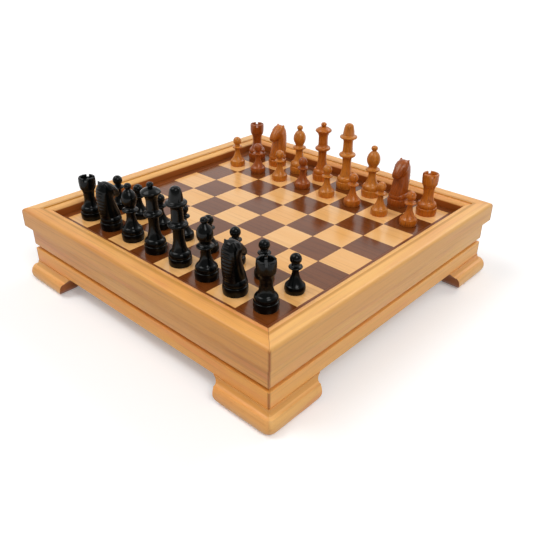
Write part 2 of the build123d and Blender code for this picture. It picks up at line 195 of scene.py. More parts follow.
def make(name: str, skin: Skin, finish: bpy.types.Material, edge: Edge | None = None,
         weld: float = 0.0) -> bpy.types.Object:
    """Puts a skin into a new object.

    Args:
        name: the object's name.
        skin: the surface.
        finish: its material.
        edge: how its sharp edges are rounded, if they are.
        weld: points nearer than this become one.

    Returns:
        The object, at the origin.
    """
    mesh = bpy.data.meshes.new(name)
    counts = np.concatenate([np.full(len(face), face.shape[1]) for face in skin.faces])
    corners = np.concatenate([face.ravel() for face in skin.faces])
    mesh.vertices.add(len(skin.points))
    mesh.vertices.foreach_set("co", skin.points.astype(np.float32).ravel())
    mesh.loops.add(len(corners))
    mesh.loops.foreach_set("vertex_index", corners.astype(np.int32))
    mesh.polygons.add(len(counts))
    mesh.polygons.foreach_set("loop_start", (np.cumsum(counts) - counts).astype(np.int32))
    mesh.polygons.foreach_set("use_smooth", np.ones(len(counts), bool))
    if skin.marks is not None:
        marks = mesh.attributes.new("mark", "FLOAT", "POINT")
        marks.data.foreach_set("value", skin.marks.astype(np.float32))
    mesh.update(calc_edges=True)
    if weld:
        work = bmesh.new()
        work.from_mesh(mesh)
        bmesh.ops.remove_doubles(work, verts=work.verts, dist=weld)
        work.to_mesh(mesh)
        work.free()
    mesh.set_sharp_from_angle(angle=math.radians(38))
    mesh.materials.append(finish)
    made = bpy.data.objects.new(name, mesh)
    bpy.context.scene.collection.objects.link(made)
    if edge:
        bevel = made.modifiers.new("edges", "BEVEL")
        bevel.width, bevel.segments = edge.width, edge.segments
        bevel.limit_method, bevel.angle_limit = "ANGLE", edge.angle
        bevel.harden_normals = True
    return made


def stand_for(made: bpy.types.Object, node: str, body: str) -> None:
    """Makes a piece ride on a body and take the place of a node."""
    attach(made, body)
    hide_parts(node)
    log.info("%s stands for %s on %s", made.name, node, body)


# ---------------------------------------------------------------------------- materials
class Recipe:
    """The nodes of a material or a world, written as calls that return sockets."""

    def __init__(self, owner: bpy.types.Material | bpy.types.World) -> None:
        """Starts with no nodes."""
        owner.use_nodes = True
        self.owner = owner
        self.tree = owner.node_tree
        self.tree.nodes.clear()

    @classmethod
    def called(cls, name: str) -> "Recipe":
        """The recipe of a new material."""
        return cls(bpy.data.materials.new(name))

    def node(self, kind: str, inputs: dict[int | str, Value], **settings: object) -> bpy.types.Node:
        """Adds a node.

        Args:
            kind: Blender's name for it, without ShaderNode.
            inputs: a number, a colour or another node's socket for each input.
            **settings: the node's own properties.

        Returns:
            The node.
        """
        made = self.tree.nodes.new("ShaderNode" + kind)
        for key, value in settings.items():
            setattr(made, key, value)
        for key, value in inputs.items():
            if isinstance(value, bpy.types.NodeSocket):
                self.tree.links.new(value, made.inputs[key])
            else:
                made.inputs[key].default_value = value
        return made

    def math(self, operation: str, first: Value, second: Value = 0.0) -> bpy.types.NodeSocket:
        """One sum on one or two numbers."""
        return self.node("Math", {0: first, 1: second}, operation=operation).outputs[0]

    def place(self) -> bpy.types.NodeSocket:
        """The point's place on the object."""
        return self.node("TexCoord", {}).outputs["Object"]

    def split(self, vector: bpy.types.NodeSocket) -> list[bpy.types.NodeSocket]:
        """A vector's three numbers."""
        return list(self.node("SeparateXYZ", {0: vector}).outputs)

    def vector(self, x: Value, y: Value, z: Value) -> bpy.types.NodeSocket:
        """Three numbers as a vector."""
        return self.node("CombineXYZ", {0: x, 1: y, 2: z}).outputs[0]

    def scaled(self, vector: Value, by: Sequence[float]) -> bpy.types.NodeSocket:
        """A vector stretched along each axis."""
        made = self.node("VectorMath", {0: vector, 1: tuple(by)}, operation="MULTIPLY")
        return made.outputs[0]

    def noise(self, vector: Value, scale: float = 1.0, detail: float = 3.0,
              twist: float = 0.0) -> bpy.types.NodeSocket:
        """Soft noise from 0 to 1."""
        inputs = {"Vector": vector, "Scale": scale, "Detail": detail, "Distortion": twist}
        return self.node("TexNoise", inputs).outputs[0]

    def between(self, value: Value, low: float, high: float) -> bpy.types.NodeSocket:
        """Rises smoothly from 0 at low to 1 at high, or falls where low is the larger."""
        ends = {0: value, 1: min(low, high), 2: max(low, high)}
        ends.update({3: 0.0, 4: 1.0} if low < high else {3: 1.0, 4: 0.0})
        return self.node("MapRange", ends, interpolation_type="SMOOTHSTEP").outputs[0]

    def blend(self, share: Value, first: Value, second: Value) -> bpy.types.NodeSocket:
        """A colour between two others."""
        made = self.node("Mix", {0: share, 6: first, 7: second}, data_type="RGBA")
        return made.outputs[2]

    def bump(self, height: Value, depth: float) -> bpy.types.NodeSocket:
        """A normal for a height from 0 to 1 over a depth in metres."""
        return self.node("Bump", {"Strength": 1.0, "Distance": depth, "Height": height}).outputs[0]

    def surface(self, **sockets: Value) -> bpy.types.Material:
        """Finishes the material.

        Args:
            **sockets: the shader's inputs, with _ for each space in their names.

        Returns:
            The material.
        """
        inputs = {key.replace("_", " "): value for key, value in sockets.items()}
        shader = self.node("BsdfPrincipled", inputs)
        self.node("OutputMaterial", {0: shader.outputs[0]})
        return self.owner


def colour(red: int, green: int, blue: int) -> tuple[float, float, float, float]:
    """A colour as it is seen, from 0 to 255, as the shader's linear numbers."""
    seen = np.array([red, green, blue]) / 255
    linear = np.where(seen <= 0.04045, seen / 12.92, ((seen + 0.055) / 1.055) ** 2.4)
    return (*map(float, linear), 1.0)


class Grain(Enum):
    """The way that a wood's grain runs."""

    MITRED = "along each of four mitred rails"
    ALONG_X = "along X"
    ALONG_Y = "along Y"
    UPRIGHT = "up a turned piece"
    ON_EDGE = "along each board that stands on its edge"


@dataclass(frozen=True)
class Wood:
    """A varnished or waxed wood.

    pale and deep are the two ends of its colour, blush and moss tint some bands of it, dark is its
    pores and streaks, and stain, or dark where there is none, is the colour of its joints and of
    the shade painted into its hollows. figure is how strongly the streaks show, from 0 to 1. gloss is
    the roughness of its finish. lift is how much paler the two rails along Y are. joint is how dark
    the glue line at a mitre is on the outer faces. groove holds the two heights between which the
    wood takes the line's colour as painted shade, and how strongly. step is how far from the middle
    a fine line of painted shade in the line's colour lies on top of the rails.
    bands are (start, end, share): painted shade that grows as the distance from the middle goes
    from start to end, up to that share. ends is how dark the sawn ends are: end grain that takes
    more stain, and painted shade.
    """

    name: str
    pale: tuple
    deep: tuple
    dark: tuple
    grain: Grain
    blush: tuple | None = None
    moss: tuple | None = None
    stain: tuple | None = None
    figure: float = 0.5
    gloss: float = 0.35
    pores: float = 0.3
    lift: float = 0.0
    joint: float = 0.0
    tile: float = 0.0
    groove: tuple | None = None
    step: float = 0.0
    # the colour of the painted shade in the groove and beside the step
    line: tuple = colour(198, 134, 48)
    bands: tuple = ()
    ends: float = 0.0

    broad: tuple = (5.0, 45.0)      # soft bands per metre, along the grain and across it
    streaks: tuple = (16.0, 420.0)  # fine streaks
    pits: tuple = (260.0, 1700.0)   # pores

    def grain_space(self, recipe: Recipe) -> tuple:
        """The point's place with the grain along the first axis, and its own x, y and z."""
        x, y, z = recipe.split(recipe.place())
        if self.grain is Grain.ALONG_X:
            return recipe.vector(x, y, z), (x, y, z)
        if self.grain is Grain.ALONG_Y:
            return recipe.vector(y, x, z), (x, y, z)
        if self.grain is Grain.UPRIGHT:
            return recipe.vector(z, x, y), (x, y, z)
        wide, deep = recipe.math("ABSOLUTE", x), recipe.math("ABSOLUTE", y)
        if self.grain is Grain.ON_EDGE:
            faced = recipe.split(recipe.node("TexCoord", {}).outputs["Normal"])
            wide, deep = (recipe.math("ADD", recipe.math("ABSOLUTE", face), recipe.math("MULTIPLY", part, 0.01))
                          for face, part in zip(faced, (wide, deep)))
        side = recipe.math("GREATER_THAN", wide, deep)
        along = recipe.math("MULTIPLY", side, recipe.math("SUBTRACT", y, x))
        along = recipe.math("ADD", along, x)
        across = recipe.math("SUBTRACT", recipe.math("ADD", x, y), along)
        return recipe.vector(along, across, recipe.math("ADD", z, side)), (x, y, z)

    def tiled(self, recipe: Recipe, space: Value, x: Value, y: Value) -> tuple:
        """Gives each square tile its own piece of veneer: its space, its tone and its seams."""
        parts = [recipe.math("DIVIDE", part, self.tile) for part in (x, y)]
        cells = [recipe.math("FLOOR", part) for part in parts]
        own = recipe.node("TexWhiteNoise", {"Vector": recipe.vector(*cells, 0.5)})
        shift = recipe.node("VectorMath", {0: space, 1: own.outputs["Color"]}, operation="ADD")
        gaps = [recipe.math("PINGPONG", part, 0.5) for part in parts]
        nearest = recipe.math("MULTIPLY", recipe.math("MINIMUM", *gaps), self.tile)
        seam = recipe.between(nearest, 0.45 * MM, 0.1 * MM)
        return shift.outputs[0], own.outputs["Value"], seam

    def tinted(self, recipe: Recipe, space: Value, shade: Value) -> bpy.types.NodeSocket:
        """Adds the soft bands of the other tints, each in its own places."""
        for tint, shift in ((self.blush, 3.7), (self.moss, 8.1)):
            if tint:
                apart = recipe.node("VectorMath", {0: recipe.scaled(space, (9.0, 85.0, 85.0)),
                                                   1: (shift,) * 3}, operation="ADD").outputs[0]
                band = recipe.between(recipe.noise(apart, detail=2.0), 0.48, 0.68)
                shade = recipe.blend(recipe.math("MULTIPLY", band, 0.6), shade, tint)
        return shade

    def jointed(self, recipe: Recipe, place: Sequence, shade: Value) -> bpy.types.NodeSocket:
        """Adds the dark glue line beside each corner's edge, faint where the face looks up."""
        sides = [recipe.math("ABSOLUTE", part) for part in place[:2]]
        off = recipe.math("ABSOLUTE", recipe.math("SUBTRACT", *sides))
        normal = recipe.split(recipe.node("NewGeometry", {}).outputs["Normal"])[2]
        upright = recipe.between(recipe.math("ABSOLUTE", normal), 0.9, 0.3)
        wide = recipe.math("MULTIPLY", recipe.between(off, 2.3 * MM, 0.5 * MM), upright)
        fine = recipe.math("MULTIPLY", recipe.between(off, 0.5 * MM, 0.1 * MM), 0.1)
        line = recipe.math("MULTIPLY", recipe.math("MAXIMUM", wide, fine), self.joint)
        return recipe.blend(line, shade, self.stain or self.dark)

    def shaded_bands(self, recipe: Recipe, place: Sequence, shade: Value) -> bpy.types.NodeSocket:
        """Paints shade: a line beside the rails' step in the line's colour, and each band in the stain colour."""
        reach = recipe.math("MAXIMUM", *(recipe.math("ABSOLUTE", part) for part in place))
        # painted shade beside the step, on the table just outside it
        near = recipe.math("MULTIPLY", recipe.between(reach, self.step - 0.4 * MM, self.step),
                           recipe.between(reach, self.step + 3.6 * MM, self.step + 1.8 * MM))
        shade = recipe.blend(recipe.math("MULTIPLY", near, 0.75), shade, self.line)
        # painted shade in each band
        for start, end, share in self.bands:
            mask = recipe.math("MULTIPLY", recipe.between(reach, start, end), share)
            shade = recipe.blend(mask, shade, self.stain or self.dark)
        return shade

    def lifted(self, recipe: Recipe, place: Sequence, shade: Value) -> bpy.types.NodeSocket:
        """Makes the two rails along Y paler, as they were cut from another board."""
        wide, deep = (recipe.math("ABSOLUTE", part) for part in place)
        share = recipe.math("MULTIPLY", recipe.math("GREATER_THAN", wide, deep), self.lift)
        return recipe.blend(share, shade, colour(255, 214, 142))

    def stained_and_shaded_ends(self, recipe: Recipe, place: Sequence, shade: Value) -> bpy.types.NodeSocket:
        """Darkens the sawn ends, the faces that look along their rail towards its middle: end grain that takes
        more stain, with painted shade.
        """
        normals = recipe.split(recipe.node("NewGeometry", {}).outputs["Normal"])
        inward = [recipe.math("MULTIPLY", normal, recipe.math("SIGN", part))
                  for normal, part in zip(normals, place)]
        most = recipe.math("MINIMUM", *inward)
        share = recipe.math("MULTIPLY", recipe.between(most, -0.3, -0.6), self.ends)
        return recipe.blend(share, shade, self.stain or self.dark)

    def finish(self) -> bpy.types.Material:
        """The material: bands, streaks and pores along the grain, with joints or seams, and painted shade, if it
        has them.
        """
        recipe = Recipe.called(self.name)
        space, (x, y, z) = self.grain_space(recipe)
        tone, seam = 0.5, None
        if self.tile:
            space, tone, seam = self.tiled(recipe, space, x, y)
        across = [(along, over, over) for along, over in (self.broad, self.streaks, self.pits)]
        broad = recipe.noise(recipe.scaled(space, across[0]), detail=2.0, twist=0.6)
        streak = recipe.noise(recipe.scaled(space, across[1]), detail=4.0)
        pit = recipe.noise(recipe.scaled(space, across[2]), detail=1.0)
        body = recipe.math("ADD", recipe.between(broad, 0.3, 0.7), tone)
        body = recipe.math("MULTIPLY", body, 0.5)
        shade = self.tinted(recipe, space, recipe.blend(body, self.pale, self.deep))
        lined = recipe.math("MULTIPLY", recipe.between(streak, 0.46, 0.72), self.figure)
        shade = recipe.blend(lined, shade, self.dark)
        pored = recipe.math("MULTIPLY", recipe.between(pit, 0.6, 0.74), self.pores)
        shade = recipe.blend(pored, shade, self.dark)
        if self.lift:
            shade = self.lifted(recipe, (x, y), shade)
        if self.joint:
            shade = self.jointed(recipe, (x, y), shade)
        # painted shade: a shadow line in the line's colour between the groove's two heights
        if self.groove:
            low, high, depth = self.groove
            inside = recipe.math("MULTIPLY", recipe.between(z, low - 0.3 * MM, low),
                                 recipe.between(z, high + 0.3 * MM, high))
            shade = recipe.blend(recipe.math("MULTIPLY", inside, depth), shade, self.line)
        if self.step:
            shade = self.shaded_bands(recipe, (x, y), shade)
        if self.ends:
            shade = self.stained_and_shaded_ends(recipe, (x, y), shade)
        if seam is not None:
            shade = recipe.blend(recipe.math("MULTIPLY", seam, 0.7), shade, self.dark)
        rough = recipe.math("ADD", self.gloss, recipe.math("MULTIPLY", streak, 0.08))
        relief = recipe.math("ADD", recipe.math("MULTIPLY", streak, 0.5), pit)
        return recipe.surface(Base_Color=shade, Roughness=rough, Specular_Tint=(1.0, 0.9, 0.74, 1.0),
                              Normal=recipe.bump(relief, 0.02 * MM))


@dataclass(frozen=True)
class Lacquer:
    """An opaque lacquer over a turned piece: its colour, and the brown that shows where it is thin."""

    name: str
    film: tuple
    thin: tuple

    def finish(self) -> bpy.types.Material:
        """The material: a dark film with faint upright grain under a gloss coat."""
        recipe = Recipe.called(self.name)
        place = recipe.place()
        grain = recipe.noise(recipe.scaled(place, (500.0, 500.0, 30.0)), detail=3.0)
        worn = recipe.noise(place, scale=70.0, detail=2.0)
        share = recipe.math("MULTIPLY", recipe.between(grain, 0.5, 0.8), recipe.between(worn, 0.4, 0.7))
        shade = recipe.blend(share, self.film, self.thin)
        rough = recipe.math("ADD", 0.24, recipe.math("MULTIPLY", worn, 0.1))
        return recipe.surface(Base_Color=shade, Roughness=rough, Specular_IOR_Level=0.05,
                              Coat_Weight=0.27, Coat_Roughness=0.1,
                              Normal=recipe.bump(grain, 0.012 * MM))


@dataclass(frozen=True)
class Leather:
    """A smooth hide: its colour, the colour in its creases, and its roughness."""

    name: str
    hide: tuple
    crease: tuple
    gloss: float = 0.38
    pebble: float = 900.0
    relief: float = 0.05 * MM

    def finish(self) -> bpy.types.Material:
        """The material: pebbled grain from the edges between cells, with clouded colour."""
        recipe = Recipe.called(self.name)
        place = recipe.place()
        warped = recipe.node("VectorMath", {
            0: place, 1: recipe.scaled(recipe.node("TexNoise", {
                "Vector": place, "Scale": 200.0}).outputs[1], (0.001,) * 3)}, operation="ADD")
        cells = recipe.node("TexVoronoi", {"Vector": warped.outputs[0], "Scale": self.pebble},
                            feature="DISTANCE_TO_EDGE")
        pebble = recipe.between(cells.outputs["Distance"], 0.0, 0.16)
        cloud = recipe.between(recipe.noise(place, scale=60.0, detail=3.0), 0.35, 0.7)
        shade = recipe.blend(recipe.math("MULTIPLY", cloud, 0.45), self.hide, self.crease)
        shade = recipe.blend(pebble, self.crease, shade)
        rough = recipe.math("ADD", self.gloss, recipe.math("MULTIPLY", cloud, 0.12))
        return recipe.surface(Base_Color=shade, Roughness=rough,
                              Normal=recipe.bump(pebble, self.relief))


@dataclass(frozen=True)
class Plastic:
    """A moulded plastic with paint where the surface's marks are 1."""

    name: str
    body: tuple
    paint: tuple

    def finish(self) -> bpy.types.Material:
        """The material: faintly clouded plastic, and flat paint in the pips."""
        recipe = Recipe.called(self.name)
        marks = recipe.node("Attribute", {}, attribute_name="mark").outputs["Fac"]
        painted = recipe.between(marks, 0.4, 0.6)
        cloud = recipe.noise(recipe.place(), scale=150.0, detail=2.0)
        tinted = recipe.node("HueSaturation", {
            "Value": recipe.math("ADD", 0.94, recipe.math("MULTIPLY", cloud, 0.12)),
            "Color": self.body}).outputs[0]
        shade = recipe.blend(painted, tinted, self.paint)
        rough = recipe.math("ADD", 0.22, recipe.math("MULTIPLY", painted, 0.3))
        return recipe.surface(Base_Color=shade, Roughness=rough, Subsurface_Weight=0.08,
                              Subsurface_Radius=(0.002, 0.0015, 0.001))


# stain is the colour of the joints and of the painted shade in hollows and on sawn ends
BEECH = {"pale": colour(250, 190, 106), "deep": colour(236, 160, 79), "dark": colour(166, 96, 36),
         "blush": colour(230, 145, 91), "moss": colour(231, 163, 86), "stain": colour(152, 74, 16)}
AMBER_BEECH = {"pale": colour(255, 190, 100), "deep": colour(250, 163, 74), "dark": colour(174, 98, 36),
               "blush": colour(246, 151, 84), "moss": colour(242, 170, 86), "stain": colour(152, 74, 16)}
MAPLE = {"pale": colour(251, 196, 122), "deep": colour(243, 176, 92), "dark": colour(176, 112, 52)}


# ---------------------------------------------------------------------------- the frame of the box
@dataclass
class BoxFrame:
    """The cap rails and the two tiers of side rails, mitred at the corners."""

    cap_width: float = 21.0 * MM
    cap_table: float = 14.5 * MM
    cap_step: float = 1.2 * MM
    cap_arris: float = 3.5 * MM
    cap_lip: float = 4.2 * MM
    rail_thickness: float = 12.0 * MM
    rail_arris: float = 0.8 * MM
    groove_depth: float = 3.0 * MM
    groove_height: float = 3.5 * MM
    panel_tongue: float = 4.0 * MM
    edge: Edge = Edge(0.35 * MM)

    def cap_section(self) -> np.ndarray:
        """A flat table, a fine step, and a strip rounded over into the recess."""
        low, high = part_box("cap_rails")
        outer, inner = high.x, high.x - self.cap_width
        strip, table = high.z - self.cap_step, outer - self.cap_table
        return arc_path([
            (low.z, inner, 0),
            (low.z, outer, 0),
            (high.z - self.cap_arris, outer, 0),
            (high.z, outer - self.cap_arris, QUARTER * self.cap_arris),
            (high.z, table, 0),
            (strip, table, 0),
            (strip, inner + self.cap_lip, 0),
            (strip - self.cap_lip, inner, QUARTER * self.cap_lip),
        ])

    def upper_section(self) -> np.ndarray:
        """A flat rail with a small round along the groove."""
        low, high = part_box("upper_side_rails")
        outer, inner = high.x, high.x - self.rail_thickness
        return arc_path([
            (low.z, inner, 0),
            (low.z, outer - self.rail_arris, 0),
            (low.z + self.rail_arris, outer, QUARTER * self.rail_arris),
            (high.z, outer, 0),
            (high.z, inner, 0),
        ], steps=3)

    def lower_section(self) -> np.ndarray:
        """A rail whose tongue backs the groove, with the slot that holds the bottom panel."""
        low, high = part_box("lower_side_rails")
        top = high.z - self.groove_height
        panel_low, panel_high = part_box("bottom_panel")
        outer, inner = high.x, high.x - self.rail_thickness
        tongue, slot = outer - self.groove_depth, inner + self.panel_tongue
        return arc_path([
            (low.z, inner, 0),
            (low.z, outer, 0),
            (top - self.rail_arris, outer, 0),
            (top, outer - self.rail_arris, QUARTER * self.rail_arris),
            (top, tongue, 0),
            (high.z, tongue, 0),
            (high.z, inner, 0),
            (panel_high.z, inner, 0),
            (panel_high.z, slot, 0),
            (panel_low.z, slot, 0),
            (panel_low.z, inner, 0),
        ], steps=3)

    def build(self) -> None:
        """Makes the three tiers."""
        outer, groove_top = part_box("cap_rails")[1].x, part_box("lower_side_rails")[1].z
        look = {"grain": Grain.MITRED, "figure": 0.3, "pores": 0.15, "lift": 0.28, "joint": 0.7,
                "streaks": (14.0, 560.0)}
        # painted shade in the groove between the two tiers of rails
        groove = (groove_top - self.groove_height, groove_top, 0.35)
        step, recess = outer - self.cap_table, outer - self.cap_width
        # painted shade on the recess's inner edge, and on the cap's outer round and side
        bands = ((recess + 0.6 * MM, recess + 0.1 * MM, 0.95), (outer - self.cap_arris, outer - 0.2 * MM, 0.16))
        cap = Wood("beech_cap", **BEECH, **look, step=step, bands=bands).finish()
        upper = Wood("beech_rails", **BEECH, **look, groove=groove).finish()
        lower = Wood("amber_beech_rails", **AMBER_BEECH, **look, groove=groove).finish()
        for node, section, wood in (("cap_rails", self.cap_section(), cap),
                                    ("upper_side_rails", self.upper_section(), upper),
                                    ("lower_side_rails", self.lower_section(), lower)):
            made = make(node + "_moulding", mitred(section), wood, self.edge)
            stand_for(made, node, "box")


@dataclass
class BracketFeet:
    """Four mitred bracket feet: a hollow and a round nose outside, and an ogee sawn on each end."""

    thickness: float = 12.0 * MM
    length: float = 60.0 * MM
    pad: float = 47.0 * MM
    quirk: float = 0.5 * MM
    cove: float = 5.0 * MM
    nose_out: float = 8.35 * MM
    toe_out: float = 4.8 * MM
    swell: float = 0.8
    levels: int = 16
    corner_steps: int = 8
    edge: Edge = Edge(0.7 * MM, segments=3)

    def half(self, cap: float, rail: float, top: float) -> Skin:
        """Half a foot on the +X side, at the +Y corner.

        At each height the cross-section runs along the sawn end, out to the moulding, and round
        the rail's corner, where the moulding is turned about the corner's edge as far as the mitre.
        The sawn end lies where an S-shaped share of the height puts it: s + k sin(2 pi s) / (2 pi),
        with s from 0 at the top to 1 at the floor.

        Args:
            cap: the distance of the cap's outer face from the middle.
            rail: the distance of the side rails' outer face.
            top: the height of the foot.

        Returns:
            The closed skin.
        """
        cove_out = self.quirk + self.cove
        rise = self.nose_out - (cove_out + self.toe_out) / 2
        height, out = arc_path([
            (0.0, self.toe_out, 0), (top - self.cove, cove_out, rise),
            (top, self.quirk, -QUARTER * self.cove),
        ], self.levels).T
        share = 1 - height / top
        share = share + self.swell * np.sin(2 * math.pi * share) / (2 * math.pi)
        end = cap - self.length + (self.length - self.pad) * share
        back = np.full_like(height, rail - self.thickness)
        turn = np.linspace(0, math.pi / 4, self.corner_steps + 1)
        x = np.column_stack([back, rail + out, rail + np.outer(out, np.cos(turn)), back])
        y = np.column_stack([end, end, rail + np.outer(out, np.sin(turn)), back])
        z = np.broadcast_to(height[:, None], x.shape)
        return rolled_up(np.stack([x, y, z], axis=-1))

    def build(self) -> None:
        """Makes the four feet."""
        cap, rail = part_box("cap_rails")[1].x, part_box("lower_side_rails")[1].x
        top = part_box("lower_side_rails")[0].z
        tones = {**AMBER_BEECH, "pale": colour(250, 195, 120), "deep": colour(238, 169, 97)}
        # the sawn ends get end-grain stain with painted shade, and the hollow under the rail gets painted shade
        wood = Wood("amber_beech_feet", **tones, grain=Grain.MITRED, figure=0.25, pores=0.15,
                    lift=0.1, joint=0.1, ends=0.9, groove=(top - 0.8 * self.cove, top, 0.4)).finish()
        for turns, node in enumerate(["foot_back_right", "foot_back_left", "foot_front_left",
                                      "foot_front_right"]):
            half = self.half(cap, rail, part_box(node)[1].z)
            skin = join([half, half.swapped()]).quarter_turned(turns)
            stand_for(make(node + "_bracket", skin, wood, self.edge), node, "box")


# ---------------------------------------------------------------------------- panels and veneers
@dataclass
class Joinery:
    """The frame's own flat pieces, which keep their shapes and take a finish."""

    square: float = 32.0 * MM

    def finishes(self) -> dict[str, bpy.types.Material]:
        """A material for each node that keeps its shape."""
        dark_square = {"pale": colour(124, 66, 26), "deep": colour(104, 50, 16), "dark": colour(60, 24, 8)}
        light_square = {"pale": colour(251, 197, 132), "deep": colour(243, 179, 103), "dark": colour(176, 112, 52)}
        border = {"pale": colour(134, 68, 18), "deep": colour(112, 52, 12), "dark": colour(64, 28, 8)}
        plain = Wood("waxed_beech", **BEECH, grain=Grain.MITRED, gloss=0.5).finish()
        upright = Wood("divider_beech", **BEECH, grain=Grain.ON_EDGE, figure=0.35, gloss=0.5).finish()
        inner = Wood("pale_panel", **MAPLE, grain=Grain.ALONG_X, figure=0.3, gloss=0.5).finish()
        red = {"pale": colour(134, 36, 34), "deep": colour(112, 26, 26), "dark": colour(70, 14, 14)}
        plum = {"pale": colour(122, 76, 80), "deep": colour(102, 58, 62), "dark": colour(66, 34, 38)}
        return {
            "bottom_panel": inner,
            "compartment_dividers": upright,
            "board_ledge_strips": plain,
            "foot_glue_blocks": plain,
            "board_core": Wood("core_edge", **MAPLE, grain=Grain.ALONG_Y, gloss=0.55).finish(),
            "light_squares": Wood("pale_squares", **light_square, grain=Grain.ALONG_X, gloss=0.11,
                                  figure=0.2, pores=0.08, tile=self.square).finish(),
            "dark_squares": Wood("dark_squares", **dark_square, grain=Grain.ALONG_X, gloss=0.11,
                                 figure=0.35, tile=self.square).finish(),
            "board_border": Wood("border_veneer", **border, grain=Grain.MITRED, gloss=0.3).finish(),
            "backgammon_field": Wood("field_veneer", **MAPLE, grain=Grain.ALONG_Y, gloss=0.14,
                                     figure=0.3).finish(),
            "backgammon_bar": Wood("bar_beech", **BEECH, grain=Grain.ALONG_Y, gloss=0.25).finish(),
            "red_points": Wood("red_veneer", **red, grain=Grain.ALONG_Y, gloss=0.14).finish(),
            "plum_points": Wood("plum_veneer", **plum, grain=Grain.ALONG_Y, gloss=0.14).finish(),
        }

    def build(self) -> None:
        """Gives each of those nodes its finish."""
        for node, finish in self.finishes().items():
            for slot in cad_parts[node].material_slots:
                slot.material = finish
            log.info("%s keeps its shape and is finished in %s", node, finish.name)


# ---------------------------------------------------------------------------- the chessmen
class Kind(Enum):
    """A kind of chessman, with the stations of its turned part, in millimetres."""

    PAWN = "pawn"
    ROOK = "rook"
    KNIGHT = "knight"
    BISHOP = "bishop"
    QUEEN = "queen"
    KING = "king"


FOOT_MM: list[Station] = [
    (0, 9.3, 0), (6.4, 9.6, 0.3), (7.0, 9.2, 0.1), (7.2, 8.7, 0), (7.7, 8.7, 0), (8.0, 9.0, 0.05),
    (12.6, 6.8, 0.9),
]
PROFILES_MM: dict[Kind, list[Station]] = {
    Kind.PAWN: [
        (0, 7.7, 0), (5.2, 7.9, 0.5), (6.4, 7.2, 0.2), (20.0, 2.6, -1.5), (20.3, 4.8, 0),
        (21.9, 4.7, 0.7), (22.6, 3.2, -0.1), (24.2, 2.8, 0), (32.5, 0.05, 3.1),
    ],
    Kind.ROOK: FOOT_MM + [
        (24.0, 5.1, -0.9), (30.0, 7.1, -0.6), (39.9, 7.5, 0.3), (40.5, 7.0, 0.1), (40.5, 5.6, 0),
        (40.1, 5.3, 0), (37.5, 5.3, 0), (37.5, 0.05, 0),
    ],
    Kind.KNIGHT: FOOT_MM[:-1] + [(11.6, 8.4, 0.5), (12.6, 7.2, 0.2), (12.8, 0.05, 0)],
    Kind.BISHOP: FOOT_MM + [
        (26.6, 4.0, -1.2), (26.9, 6.4, 0), (28.7, 6.4, 0.75), (29.5, 5.0, -0.1), (31.0, 4.3, -0.3),
        (32.0, 4.6, 0), (46.6, 2.2, 3.2), (47.2, 2.0, 0), (52.0, 0.05, 2.2),
    ],
    Kind.QUEEN: FOOT_MM + [
        (32.6, 4.8, -1.4), (33.0, 7.0, 0), (36.2, 7.0, 1.0), (36.9, 5.9, -0.1), (40.0, 5.0, -0.4),
        (46.4, 4.8, -0.1), (52.8, 8.1, -0.9), (54.8, 7.9, 0.5), (57.6, 2.6, 0.4), (58.0, 1.9, 0),
        (62.0, 0.05, 2.0),
    ],
    Kind.KING: FOOT_MM + [
        (33.4, 5.0, -1.3), (33.8, 7.5, 0), (36.9, 7.5, 1.0), (37.6, 6.2, -0.1), (40.4, 5.2, -0.4),
        (49.6, 4.9, -0.1), (52.8, 7.9, -0.6), (55.2, 7.9, 0.9), (56.2, 5.9, -0.2), (65.0, 4.5, 0.2),
        (67.5, 0.05, 1.1),
    ],
}


